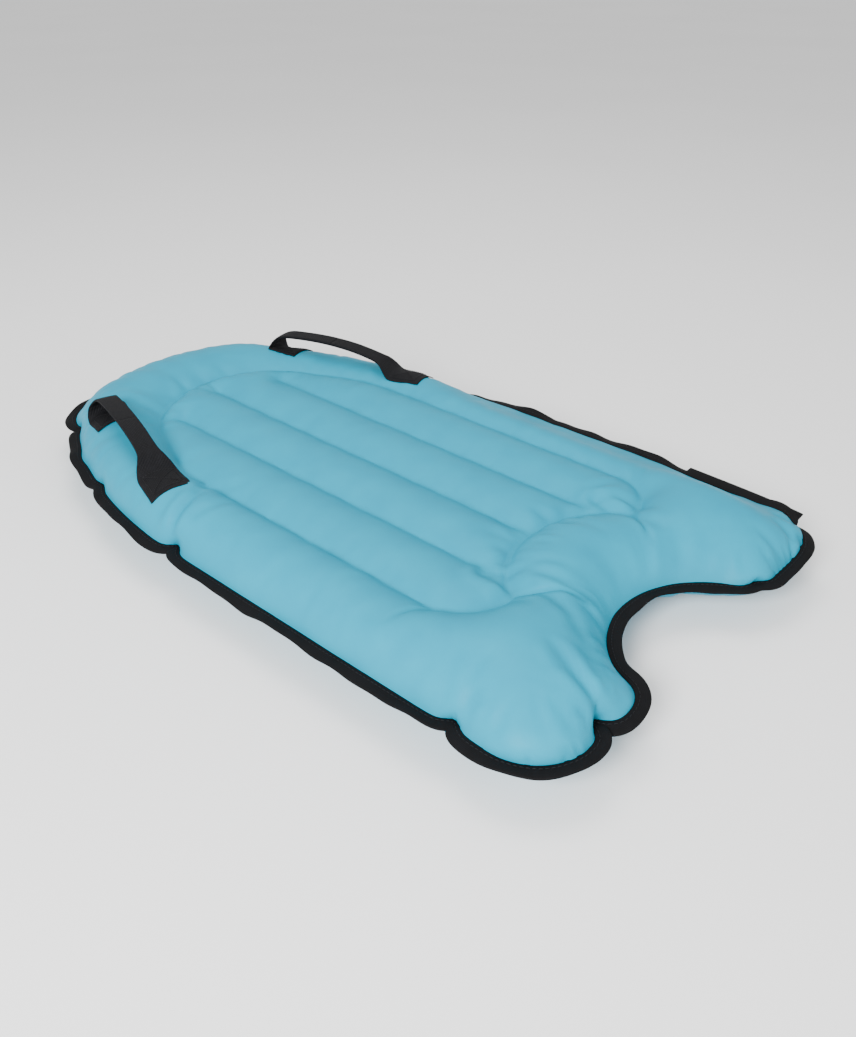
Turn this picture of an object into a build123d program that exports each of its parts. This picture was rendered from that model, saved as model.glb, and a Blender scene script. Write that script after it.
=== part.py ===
"""Inflatable bodyboard: two coated-fabric skins joined at an edge seam, inner baffles, two handles and a valve.

Millimetres. +Y points to the nose, +X to the rider's right, +Z up.
The origin is under the middle of the board, on the surface that it lies on.
"""

import os
from functools import cache
from math import asin, degrees, radians, sin, sqrt

from build123d import *

# Body plan, inside the seam flange: straight sides, then three tangent arcs to the nose
PITCH = 84.0  # spacing of the deck grooves
HALF_WIDTH = 254.0
SIDE_TOP_Y = 40.0
SIDE_ARC = (700.0, 31.0)
SHOULDER_ARC = (110.0, 37.4)
TAIL_Y = -463.0
NOTCH_RADIUS = 113.0
NOTCH_CENTRE_Y = -487.0
HORN_OUTER_RADIUS = 60.0
HORN_INNER_RADIUS = 46.0

# Deck plan: the loop where the deck meets the rim
DECK_HALF = 2 * PITCH
DECK_SIDE_TOP_Y = 90.0
DECK_SIDE_ARC = (300.0, 32.0)
LOBE_RADIUS = 58.0
LOBE_CENTRE_Y = -251.0
CUSP_X = 105.0
BUMP_Y = -252.0

# Heights, measured from the seam plane
RIM_HALF = 44.0
GROOVE_HALF = 30.0
RIDGE_RISE = 10.0
EDGE_ROUND = 40.0
MIDDLE_Y = 1.133  # middle of the overall length

# Skins and seam
SKIN = 1.2
FLANGE_WIDTH = 12.0
FLANGE_THICK = 0.8
BINDING_WIDTH = 12.0
BINDING_OUT = 14.0
BINDING_HALF = 2.0
THREAD_OUT = 6.0
THREAD_WIDTH = 0.8

# Baffles
BAFFLE_THICK = 1.0
BAFFLE_END_GAP = 14.0
VENT_RADIUS = 9.0
VENT_SPACING = 140.0

# Handles: folded webbing, a tab at each end and a narrower grip between them
WEB_WIDTH = 50.0
GRIP_WIDTH = 25.0
WEB_THICK = 1.6
GRIP_THICK = 3.4
TAB_LENGTH = 52.0
TAB_SPACING = 197.0
HANDLE_CENTRE = (178.0, 217.0)
HANDLE_TURN = 15.3
GRIP_START = 0.2  # stretch of the strap's path that the grip takes up
GRIP_END = 0.8
HINGE_GAP = 0.3
PATCH_SIZE = (60.0, 62.0)
PATCH_THICK = 0.8
STITCH_SPACING = 38.0
STITCH_LINE = 1.0

# Valve, in the underside of the outer left ridge: heights go up into the board
VALVE_CENTRE = (-1.5 * PITCH, -215.0)
BASE_RADIUS = 24.0
BASE_THICK = 4.0
COLLAR_RADIUS = 18.0
COLLAR_DEPTH = 14.0
INSERT_RADIUS = 14.0
INSERT_DEPTH = 17.0
LIP_RADIUS = 17.0
LIP_LOW = -1.6
BORE_RADIUS = 6.5
RUNNING_GAP = 0.05
LUG_RADIUS = 16.0
LUG_WIDTH = 6.0
CAP_RADIUS = 11.0
CAP_THICK = 2.4
CAP_GAP = 0.35
SEAL_RADIUS = 8.5
SEAL_SECTION = 1.2
SEAL_ROOM = 0.75
CHAMBER_RADIUS = 8.5
CHAMBER_DEPTH = 5.0
BARREL_X = -13.4
BARREL_RADIUS = 1.0
BARREL_LENGTH = 8.0
MEMBRANE_THICK = 0.8
BAR_WIDTH = 3.0


def whole_plan(right_edges):
    """A symmetrical face from the edges of its right half, which start and end on X = 0."""
    start, end = right_edges[0] @ 0, right_edges[-1] @ 1
    half = make_face(Wire(right_edges + [Line(end, start)]))
    return half + mirror(half, Plane.YZ)


def arcs_to_nose(start, arcs):
    """Tangent arcs that set off along +Y and turn left, closed by one square to X = 0."""
    point, heading, turned, edges = start, (0, 1), 0, []
    for radius, turn in arcs:
        edges.append(JernArc(start=point, tangent=heading, radius=radius, arc_size=turn))
        point, heading, turned = edges[-1] @ 1, edges[-1] % 1, turned + turn
    rest = 90 - turned
    edges.append(JernArc(start=point, tangent=heading, radius=point.X / sin(radians(rest)), arc_size=rest))
    return edges


def round_corners(face, chosen, radius):
    return fillet([v for v in face.vertices() if chosen(v)], radius)


@cache
def board_plan():
    """Plan of the inflated body, inside the seam flange."""
    notch_x = sqrt(NOTCH_RADIUS**2 - (TAIL_Y - NOTCH_CENTRE_Y) ** 2)
    notch_middle = Vector(0, NOTCH_CENTRE_Y) + Vector(NOTCH_RADIUS, 0).rotate(Axis.Z, 50)
    notch = ThreePointArc((0, NOTCH_CENTRE_Y + NOTCH_RADIUS), notch_middle, (notch_x, TAIL_Y))
    horn_end = Line((notch_x, TAIL_Y), (HALF_WIDTH, TAIL_Y))
    side = Line((HALF_WIDTH, TAIL_Y), (HALF_WIDTH, SIDE_TOP_Y))
    nose = arcs_to_nose(Vector(HALF_WIDTH, SIDE_TOP_Y), [SIDE_ARC, SHOULDER_ARC])
    face = whole_plan([notch, horn_end, side, *nose])
    at_tail = TAIL_Y + 1
    face = round_corners(face, lambda v: v.Y < at_tail and abs(v.X) > HALF_WIDTH - 1, HORN_OUTER_RADIUS)
    return round_corners(face, lambda v: v.Y < at_tail and abs(v.X) < notch_x + 1, HORN_INNER_RADIUS)


@cache
def deck_plan():
    """Plan of the sunk deck: the rim's inner seam, with the cusps beside the tail bump."""
    lobe_centre = Vector(DECK_HALF - LOBE_RADIUS, LOBE_CENTRE_Y)
    cusp_drop = sqrt(LOBE_RADIUS**2 - (CUSP_X - lobe_centre.X) ** 2)
    cusp = Vector(CUSP_X, LOBE_CENTRE_Y - cusp_drop)
    bump_radius = (CUSP_X**2 + (BUMP_Y - cusp.Y) ** 2) / (2 * (BUMP_Y - cusp.Y))
    half_turn = degrees(asin(CUSP_X / bump_radius)) / 2
    bump_middle = Vector(0, BUMP_Y - bump_radius) + Vector(0, bump_radius).rotate(Axis.Z, -half_turn)
    bump = ThreePointArc((0, BUMP_Y), bump_middle, cusp)
    lobe_middle = lobe_centre + Vector(LOBE_RADIUS, 0).rotate(Axis.Z, -45)
    lobe = ThreePointArc(cusp, lobe_middle, (DECK_HALF, LOBE_CENTRE_Y))
    side = Line((DECK_HALF, LOBE_CENTRE_Y), (DECK_HALF, DECK_SIDE_TOP_Y))
    nose = arcs_to_nose(Vector(DECK_HALF, DECK_SIDE_TOP_Y), [DECK_SIDE_ARC])
    return whole_plan([bump, lobe, side, *nose])


@cache
def half_body(inset):
    """The upper half of the body above the seam plane, with every wall moved in by inset."""
    outline = offset(board_plan(), -inset) if inset else board_plan()
    pocket = offset(deck_plan(), inset) if inset else deck_plan()
    bed = offset(deck_plan(), -inset) if inset else deck_plan()
    body = extrude(outline, RIM_HALF - inset)
    rim_edge = body.edges().group_by(Axis.Z)[-1]
    body = fillet(rim_edge, EDGE_ROUND - inset)
    body -= Pos(0, 0, GROOVE_HALF - inset) * extrude(pocket, RIM_HALF)
    ridge_radius = ((PITCH / 2) ** 2 + RIDGE_RISE**2) / (2 * RIDGE_RISE)
    axis_z = GROOVE_HALF + RIDGE_RISE - ridge_radius
    for i in range(4):
        across = Pos((i - 1.5) * PITCH, 0, axis_z) * Rot(X=90) * Cylinder(ridge_radius - inset, 4 * HALF_WIDTH)
        body += across & extrude(bed, RIM_HALF)
    return body


def ring(outer, inner, low, high):
    """A flat band round the body plan, from inner to outer outside it."""
    plan = offset(board_plan(), outer) - offset(board_plan(), inner)
    return Pos(0, 0, low) * extrude(plan, high - low)


def upper_skin():
    shell = half_body(0) - half_body(SKIN)
    return shell + ring(FLANGE_WIDTH, -SKIN / 2, 0, FLANGE_THICK)


def edge_binding():
    band = ring(BINDING_OUT, BINDING_OUT - BINDING_WIDTH, -BINDING_HALF, BINDING_HALF)
    return band - ring(FLANGE_WIDTH, 0.1, -FLANGE_THICK, FLANGE_THICK)


def binding_stitching():
    row = ring(THREAD_OUT + THREAD_WIDTH, THREAD_OUT, BINDING_HALF, BINDING_HALF + THREAD_WIDTH / 2)
    return [row, mirror(row, Plane.XY)]


def baffle_height():
    return 2 * (GROOVE_HALF - SKIN)


def vents(length):
    """Holes that let air pass through a lengthwise baffle."""
    count = int(length // VENT_SPACING)
    hole = Rot(Y=90) * Cylinder(VENT_RADIUS, 4 * BAFFLE_THICK)
    return [Pos(0, (i - (count - 1) / 2) * VENT_SPACING, 0) * hole for i in range(count)]


def deck_baffle(x):
    """A strip between the skins under one groove, stopping short of the rim baffle."""
    slit = Pos(x, 0) * Rectangle(BAFFLE_THICK, 4 * HALF_WIDTH)
    span = (offset(deck_plan(), -BAFFLE_END_GAP) & slit).bounding_box()
    strip = Pos(x, span.center().Y) * Box(BAFFLE_THICK, span.size.Y, baffle_height())
    for hole in vents(span.size.Y):
        strip -= Pos(x, span.center().Y) * hole
    return strip


def rim_baffle():
    wall = offset(deck_plan(), BAFFLE_THICK / 2) - offset(deck_plan(), -BAFFLE_THICK / 2)
    loop = Pos(0, 0, -baffle_height() / 2) * extrude(wall, baffle_height())
    middle_y = (LOBE_CENTRE_Y + DECK_SIDE_TOP_Y) / 2
    for side in (-1, 1):
        for hole in vents(DECK_SIDE_TOP_Y - LOBE_CENTRE_Y):
            loop -= Pos(side * DECK_HALF, middle_y, 0) * hole
    return loop


def on_handle(shape, side):
    """Puts a shape made along the handle, +Y forward and Z = 0 on the skin, onto one side of the board."""
    placed = Pos(*HANDLE_CENTRE, RIM_HALF) * Rot(Z=HANDLE_TURN) * shape
    return placed if side > 0 else mirror(placed, Plane.YZ)


def strap_path():
    """Middle of the folded webbing, from the rear tab up, forward over the front tab and down to it."""
    low = GRIP_THICK / 2
    points = [(-84, low), (-66, 5), (-42, 14), (-4, 22), (40, 24.5), (86, 22.5), (111, 17), (117, 8), (102, low)]
    return Spline([(0, u, v) for u, v in points], tangents=[(0, 1, 0), (0, -1, 0)])


def whole_strap():
    path = strap_path()
    section = Plane(path @ 0, x_dir=(1, 0, 0), z_dir=path % 0) * Rectangle(GRIP_WIDTH, GRIP_THICK)
    return sweep(section, path)


def hinge_ends():
    path = strap_path()
    return path @ GRIP_START, path @ GRIP_END


def beyond(point, direction, gap):
    """A block that fills the space from gap past a point onwards, square to a direction."""
    size = 4 * RIM_HALF
    return Plane(point + direction * (gap + size / 2), x_dir=(1, 0, 0), z_dir=direction) * Box(size, size, size)


def layer(size, centre_u, side, low, high):
    """A patch of the given plan size that follows the top skin, from low to high above it."""
    column = on_handle(Pos(0, centre_u, 0) * Box(*size, RIM_HALF), side)
    return (half_body(-high) - half_body(-low)) & column


def tab(end, side):
    return layer((WEB_WIDTH, TAB_LENGTH), end * TAB_SPACING / 2, side, 0, WEB_THICK)


def handle_front_tab(side):
    rear, front = hinge_ends()
    fold = whole_strap() & beyond(front, (front - rear).normalized(), HINGE_GAP)
    return tab(1, side) + on_handle(fold, side)


def handle_rear_tab(side):
    rear, front = hinge_ends()
    neck = whole_strap() & beyond(rear, (rear - front).normalized(), HINGE_GAP)
    return tab(-1, side) + on_handle(neck, side)


def handle_grip(side):
    rear, front = hinge_ends()
    along = (front - rear).normalized()
    return on_handle(whole_strap() - beyond(front, along, 0) - beyond(rear, along * -1, 0), side)


def all_tabs():
    return [(end, side) for side in (-1, 1) for end in (-1, 1)]


def backing_patches():
    """Sealing patches inside the top skin, behind the handle stitching."""
    low, high = -SKIN - PATCH_THICK, -SKIN
    return [layer(PATCH_SIZE, end * TAB_SPACING / 2, side, low, high) for end, side in all_tabs()]


def handle_stitching():
    """Two rows of thread on each tab, either side of the strap."""
    low, high = WEB_THICK, WEB_THICK + STITCH_LINE / 2
    thread = layer((STITCH_SPACING + STITCH_LINE, STITCH_SPACING), TAB_SPACING / 2, 1, low, high)
    thread += layer((STITCH_SPACING + STITCH_LINE, STITCH_SPACING), -TAB_SPACING / 2, 1, low, high)
    thread -= on_handle(Box(STITCH_SPACING - STITCH_LINE, 2 * TAB_SPACING, RIM_HALF), 1)
    return [thread, mirror(thread, Plane.YZ)]


def on_valve(shape):
    """Puts a shape made with Z = 0 on the underside and +Z into the board at the valve's place."""
    return Pos(*VALVE_CENTRE, -(GROOVE_HALF + RIDGE_RISE)) * shape


def disc(radius, low, high):
    return Pos(0, 0, (low + high) / 2) * Cylinder(radius, high - low)


def barrel(radius, length):
    return Pos(BARREL_X, 0, LIP_LOW) * Rot(X=90) * Cylinder(radius, length)


def lugs(width, radius, low, high):
    return disc(radius, low, high) & Pos(0, 0, (low + high) / 2) * Box(4 * radius, width, high - low)


def valve_base():
    """Welded flange and collar, with two slots that the insert's lugs pass through."""
    body = disc(BASE_RADIUS, 0, BASE_THICK) + disc(COLLAR_RADIUS, 0, COLLAR_DEPTH)
    body -= disc(INSERT_RADIUS + RUNNING_GAP, -1, COLLAR_DEPTH + 1)
    slots = lugs(LUG_WIDTH + 1, LUG_RADIUS + RUNNING_GAP, -1, COLLAR_DEPTH + 1)
    return on_valve(body - slots)


def valve_insert():
    """Sleeve with an outer lip, the cap's recess, the inlet bore, two lugs and the membrane's bar."""
    floor = LIP_LOW + CAP_THICK + SEAL_ROOM
    chamber = INSERT_DEPTH - CHAMBER_DEPTH
    body = disc(INSERT_RADIUS, LIP_LOW, INSERT_DEPTH) + disc(LIP_RADIUS, LIP_LOW, -RUNNING_GAP)
    body -= disc(CAP_RADIUS + CAP_GAP, LIP_LOW - 1, floor)
    body -= disc(BORE_RADIUS, LIP_LOW, INSERT_DEPTH + 1)
    body -= disc(CHAMBER_RADIUS, chamber, INSERT_DEPTH + 1)
    body += Pos(0, 0, INSERT_DEPTH - BAR_WIDTH / 2) * Box(2 * CHAMBER_RADIUS + 1, BAR_WIDTH, BAR_WIDTH)
    bayonet = lugs(LUG_WIDTH, LUG_RADIUS, COLLAR_DEPTH + RUNNING_GAP, INSERT_DEPTH - 1)
    body += Rot(Z=60) * (bayonet - disc(INSERT_RADIUS - 1, 0, 2 * INSERT_DEPTH))
    socket = Pos(BARREL_X + 1, 0, LIP_LOW) * Box(4.4, BARREL_LENGTH + 1, 2.8)
    return on_valve(body - socket)


def valve_membrane():
    return on_valve(disc(CHAMBER_RADIUS + 3, INSERT_DEPTH, INSERT_DEPTH + MEMBRANE_THICK))


def valve_cap():
    """Cap with a finger bar across a dished face, a seal groove and a barrel that it tips on."""
    body = disc(CAP_RADIUS, 0, CAP_THICK) - disc(CAP_RADIUS - 2, -1, 1)
    body += Pos(0, 0, CAP_THICK / 2) * Box(2 * (CAP_RADIUS - 1), BAR_WIDTH, CAP_THICK)
    body -= Pos(0, 0, CAP_THICK) * Torus(SEAL_RADIUS, SEAL_SECTION / 2 + RUNNING_GAP)
    reach = -BARREL_X - CAP_RADIUS + 1
    body += Pos(BARREL_X + reach / 2, 0, 0.5) * Box(reach, BARREL_LENGTH - 2, 1)
    return on_valve(Pos(0, 0, LIP_LOW) * body + barrel(BARREL_RADIUS, BARREL_LENGTH))


def cap_seal():
    return on_valve(Pos(0, 0, LIP_LOW + CAP_THICK) * Torus(SEAL_RADIUS, SEAL_SECTION / 2))


def valve_hole():
    return on_valve(disc(BASE_RADIUS, -RIM_HALF, 20))


def main():
    top_skin = upper_skin()
    parts = {
        "top_skin": top_skin,
        "bottom_skin": mirror(top_skin, Plane.XY) - valve_hole(),
        "edge_binding": edge_binding(),
        "binding_stitching": binding_stitching(),
        "rim_baffle": rim_baffle(),
        "baffle_left": deck_baffle(-PITCH),
        "baffle_centre": deck_baffle(0),
        "baffle_right": deck_baffle(PITCH),
        "handle_backing_patches": backing_patches(),
        "handle_stitching": handle_stitching(),
        "valve_base": valve_base(),
        "valve_insert": valve_insert(),
        "valve_membrane": valve_membrane(),
        "valve_cap": valve_cap(),
        "valve_cap_seal": cap_seal(),
    }
    for side, word in ((-1, "left"), (1, "right")):
        parts[f"{word}_handle_front_tab"] = handle_front_tab(side)
        parts[f"{word}_handle_rear_tab"] = handle_rear_tab(side)
        parts[f"{word}_handle_grip"] = handle_grip(side)
    for point in hinge_ends():
        print("right grip hinge", (Pos(0, -MIDDLE_Y, RIM_HALF) * on_handle(Vertex(*point), 1)).center())
    os.makedirs("parts", exist_ok=True)
    for name, shape in parts.items():
        pieces = shape if isinstance(shape, list) else [shape]
        solids = [Pos(0, -MIDDLE_Y, RIM_HALF) * s for piece in pieces for s in piece.solids()]
        export_step(solids[0] if len(solids) == 1 else Compound(children=solids), f"parts/{name}.step")


main()
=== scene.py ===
"""Inflatable bodyboard: skins blown up by a small cloth solver, folded edge tape and webbing handles.

Shapes are worked out in board millimetres: x to the right, y to the nose, z up from the plane of the seam.
"""

import math

import bpy
import numpy as np
from mathutils import Matrix, Vector, geometry
from mathutils.bvhtree import BVHTree


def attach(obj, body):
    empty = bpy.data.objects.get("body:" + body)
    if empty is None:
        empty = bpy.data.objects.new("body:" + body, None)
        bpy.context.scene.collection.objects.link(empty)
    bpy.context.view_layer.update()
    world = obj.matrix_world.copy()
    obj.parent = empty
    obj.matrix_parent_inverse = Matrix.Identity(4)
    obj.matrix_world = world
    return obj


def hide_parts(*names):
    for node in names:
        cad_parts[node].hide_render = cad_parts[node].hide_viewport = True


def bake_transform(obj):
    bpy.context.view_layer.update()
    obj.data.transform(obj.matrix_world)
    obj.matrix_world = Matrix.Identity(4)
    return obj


MM = 0.001
MIDDLE_Y = 1.133  # the board's own middle, which the frame has at its origin
SEAM_Z = 44.0  # the seam plane over the ground

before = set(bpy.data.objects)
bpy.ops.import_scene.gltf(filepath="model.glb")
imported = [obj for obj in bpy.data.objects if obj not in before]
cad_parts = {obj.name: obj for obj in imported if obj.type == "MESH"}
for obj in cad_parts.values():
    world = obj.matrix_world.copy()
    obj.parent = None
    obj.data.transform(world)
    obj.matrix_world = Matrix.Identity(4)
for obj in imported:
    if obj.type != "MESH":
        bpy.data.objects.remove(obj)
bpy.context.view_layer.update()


def camera():
    azimuth, elevation, distance = math.radians(-47.52), math.radians(31.61), 1.0898
    back = Vector((
        math.sin(azimuth) * math.cos(elevation),
        -math.cos(azimuth) * math.cos(elevation),
        math.sin(elevation),
    ))
    right = Vector((math.cos(azimuth), math.sin(azimuth), 0))
    up = back.cross(right)
    target = Vector((-0.0480, -0.1479, 0.0732))
    data = bpy.data.cameras.new("camera")
    data.sensor_width = 36
    data.lens = 34.53
    data.clip_start = 0.01
    eye = bpy.data.objects.new("camera", data)
    turn = Matrix((right, up, back)).transposed().to_4x4()
    eye.matrix_world = Matrix.Translation(target + back * distance) @ turn
    bpy.context.scene.collection.objects.link(eye)
    bpy.context.scene.camera = eye


camera()


def unit(angle):
    return np.array([math.cos(angle), math.sin(angle)])


def arc(centre, radius, start_deg, end_deg, count=60):
    turn = np.radians(np.linspace(start_deg, end_deg, count))
    return np.array(centre) + radius * np.stack([np.cos(turn), np.sin(turn)], 1)


def to_nose(half_width, top_y, arcs):
    """Tangent arcs from the side to the tip: they set off along +Y, turn left and end square to x = 0."""
    point, turned, pieces = np.array([half_width, top_y]), 0.0, []
    for radius, turn in arcs:
        centre = point - radius * unit(math.radians(turned))
        pieces.append(arc(centre, radius, turned, turned + turn))
        point, turned = pieces[-1][-1], turned + turn
    radius = point[0] / math.cos(math.radians(turned))
    centre = point - radius * unit(math.radians(turned))
    pieces.append(arc(centre, radius, turned, 90))
    return pieces


class Loop:
    """A closed symmetrical curve. Its parameter runs down the right side from the nose and up the left.

    Each piece of the right half takes up one unit of the parameter.
    """

    def __init__(self, pieces):
        self.pieces = []
        for points in pieces:
            steps = np.linalg.norm(np.diff(points, axis=0), axis=1)
            run = np.concatenate([[0], np.cumsum(steps)])
            self.pieces.append((run / run[-1], points, run[-1]))
        self.span = len(pieces)

    def at(self, u):
        u = np.asarray(u, float) % (2 * self.span)
        left = u > self.span
        v = np.where(left, 2 * self.span - u, u)
        k = np.minimum(v.astype(int), self.span - 1)
        out = np.zeros((len(u), 2))
        for i, (t, points, _) in enumerate(self.pieces):
            m = k == i
            for c in (0, 1):
                out[m, c] = np.interp(v[m] - i, t, points[:, c])
        out[left, 0] *= -1
        return out

    def samples(self, spacing):
        right = []
        for i, (_, _, length) in enumerate(self.pieces):
            n = max(1, round(length / spacing))
            right += [i + j / n for j in range(n)]
        right = np.array(right)
        left = 2 * self.span - right[1:][::-1]
        return np.concatenate([right, [self.span], left])


def board_loop(half_width, side_top, side_arc, shoulder_arc, tail, notch_r, notch_y, outer_r, inner_r):
    """The outline: nose, straight side, outer tail corner, flat end, inner tail corner and the notch."""
    nose = [p[::-1] for p in to_nose(half_width, side_top, [side_arc, shoulder_arc])][::-1]
    yc = tail + inner_r
    xc = math.sqrt((notch_r + inner_r) ** 2 - (yc - notch_y) ** 2)
    meet = math.degrees(math.atan2(yc - notch_y, xc))
    side = np.array([[half_width, side_top], [half_width, tail + outer_r]])
    end = np.array([[half_width - outer_r, tail], [xc, tail]])
    return Loop(nose + [side, arc((half_width - outer_r, tail + outer_r), outer_r, 0, -90), end,
                        arc((xc, yc), inner_r, -90, meet - 180), arc((0, notch_y), notch_r, meet, 90)])


def deck_loop(half, side_top, side_arc, lobe_r, lobe_y, cusp_x, bump_y):
    """The line where the deck meets the rim: nose, side, round tail lobe and the bump between the lobes."""
    nose = [p[::-1] for p in to_nose(half, side_top, [side_arc])][::-1]
    cx = half - lobe_r
    cusp_y = lobe_y - math.sqrt(lobe_r**2 - (cusp_x - cx) ** 2)
    r = (cusp_x**2 + (bump_y - cusp_y) ** 2) / (2 * (bump_y - cusp_y))
    at_cusp = math.degrees(math.atan2(cusp_y - lobe_y, cusp_x - cx))
    bump = math.degrees(math.atan2(cusp_y - (bump_y - r), cusp_x))
    return Loop(nose + [np.array([[half, side_top], [half, lobe_y]]), arc((cx, lobe_y), lobe_r, 0, at_cusp),
                        arc((0, bump_y - r), r, bump, 90)])


class Panel:
    """A flat triangle mesh with marked lines: the seam (0), the deck loop (1) and the grooves (2 on).

    A groove is given as its x and the y of its two ends. Every point has a mark: its line and its place on
    that line, or -1 and 0 where it is on none.
    """

    JITTER = 0.12  # how far a free point is moved off the grid, in spacings
    CLEARANCE = 0.62  # how near a free point may lie to a marked line, in spacings

    def __init__(self, seam, deck, grooves, spacing):
        self.curves = [seam, deck] + grooves
        pts, marks, lines = [], [], []
        for c, curve in enumerate(self.curves):
            if c < 2:
                u = curve.samples(spacing)
            else:
                n = max(2, round((curve[2] - curve[1]) / spacing))
                u = np.linspace(curve[1], curve[2], n + 1)
            first = len(pts)
            xy = self.flat_at(c, u)
            pts += [tuple(p) for p in xy]
            marks += [(c, float(v)) for v in u]
            n = len(u)
            lines += [(first + i, first + i + 1) for i in range(n - 1)]
            if c < 2:
                lines.append((first + n - 1, first))
        on_line = np.array(pts)
        low, high = on_line.min(0), on_line.max(0)
        step_y = spacing * math.sqrt(3) / 2
        rows = int((high[1] - low[1]) / step_y) + 1
        cols = int((high[0] - low[0]) / spacing / 2) + 1
        rng = np.random.default_rng(7)
        ring = [tuple(p) for p in on_line[: len(seam.samples(spacing))]]
        for r in range(rows):
            y = low[1] + r * step_y
            for k in range(-cols, cols + 1):
                x = (k + (r % 2) / 2) * spacing
                p = np.array([x, y]) + rng.uniform(-self.JITTER, self.JITTER, 2) * spacing
                if np.min(np.sum((on_line - p) ** 2, 1)) < (self.CLEARANCE * spacing) ** 2:
                    continue
                if inside(p, ring):
                    pts.append(tuple(p))
                    marks.append((-1, 0.0))
        verts, _, faces, source = geometry.delaunay_2d_cdt(pts, lines, [], 1, 1e-5)[:4]
        self.flat = np.array([tuple(v) for v in verts])
        self.marks = [marks[s[0]] if s else (-1, 0.0) for s in source]
        self.faces = np.array([list(f) for f in faces])
        key = {}
        for new, s in enumerate(source):
            for old in s:
                key[old] = new
        self.lines = {}
        for a, b in lines:
            i, j = key[a], key[b]
            self.lines[(min(i, j), max(i, j))] = marks[a][0]
        self.orient()

    def orient(self):
        """Turns every triangle the same way round and drops those with no area."""
        a, b, c = (self.flat[self.faces[:, k]] for k in range(3))
        area = (b[:, 0] - a[:, 0]) * (c[:, 1] - a[:, 1]) - (b[:, 1] - a[:, 1]) * (c[:, 0] - a[:, 0])
        flip = area < 0
        self.faces[flip] = self.faces[flip][:, ::-1]
        self.faces = self.faces[np.abs(area) > 1e-6]

    def flat_at(self, c, u):
        if c < 2:
            return self.curves[c].at(u)
        return np.stack([np.full(len(u), self.curves[c][0]), u], 1)

    def split(self, x):
        """Cuts every triangle in four; x, the places in space, is cut with it."""
        f = self.faces
        pairs = np.sort(np.concatenate([f[:, [0, 1]], f[:, [1, 2]], f[:, [2, 0]]]), 1)
        edges, inverse = np.unique(pairs, axis=0, return_inverse=True)
        inverse = inverse.reshape(3, -1)
        n = len(self.flat)
        mids = (self.flat[edges[:, 0]] + self.flat[edges[:, 1]]) / 2
        space = (x[edges[:, 0]] + x[edges[:, 1]]) / 2
        marks, lines = [], {}
        for k, (i, j) in enumerate(edges):
            c = self.lines.get((i, j), -1)
            if c < 0:
                marks.append((-1, 0.0))
                continue
            ui, uj = self.marks_on(i, c), self.marks_on(j, c)
            if c < 2:
                whole = 2 * self.curves[c].span
                if abs(ui - uj) > whole / 2:
                    ui, uj = (ui + whole, uj) if ui < uj else (ui, uj + whole)
            u = (ui + uj) / 2
            marks.append((c, u))
            mids[k] = self.flat_at(c, np.array([u]))[0]
            lines[(i, n + k)] = c
            lines[(j, n + k)] = c
        e01, e12, e20 = inverse[0] + n, inverse[1] + n, inverse[2] + n
        self.faces = np.concatenate([
            np.stack([f[:, 0], e01, e20], 1), np.stack([f[:, 1], e12, e01], 1),
            np.stack([f[:, 2], e20, e12], 1), np.stack([e01, e12, e20], 1)])
        self.flat = np.concatenate([self.flat, mids])
        self.marks += marks
        self.lines = lines
        return np.concatenate([x, space])

    def marks_on(self, i, c):
        m = self.marks[i]
        return m[1] if m[0] == c else self.flat[i][1]

    def order(self, c):
        """The points on one line in their order along it, and their places on it."""
        idx = [i for i, m in enumerate(self.marks) if m[0] == c]
        u = np.array([self.marks[i][1] for i in idx])
        if c < 2:
            u = u % (2 * self.curves[c].span)
        s = np.argsort(u)
        return np.array(idx)[s], u[s]


def inside(p, ring):
    """Whether a point lies within a closed ring of points."""
    hit, n = False, len(ring)
    x, y = p
    for i in range(n):
        (x1, y1), (x2, y2) = ring[i], ring[(i + 1) % n]
        if (y1 > y) != (y2 > y) and x < (x2 - x1) * (y - y1) / (y2 - y1) + x1:
            hit = not hit
    return hit


def table(n, a, b):
    """For each of n points, the rows where it is in a (sign +1) or b (sign -1), padded to one width."""
    who = np.concatenate([a, b])
    row = np.concatenate([np.arange(len(a)), np.arange(len(b))])
    sign = np.concatenate([np.ones(len(a)), -np.ones(len(b))])
    order = np.argsort(who, kind="stable")
    who, row, sign = who[order], row[order], sign[order]
    count = np.bincount(who, minlength=n)
    start = np.concatenate([[0], np.cumsum(count)[:-1]])
    width = count.max()
    slot = np.arange(len(who)) - start[who]
    rows = np.zeros((n, width), int)
    signs = np.zeros((n, width))
    rows[who, slot] = row
    signs[who, slot] = sign
    return rows, signs, np.maximum(count, 1)


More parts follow.
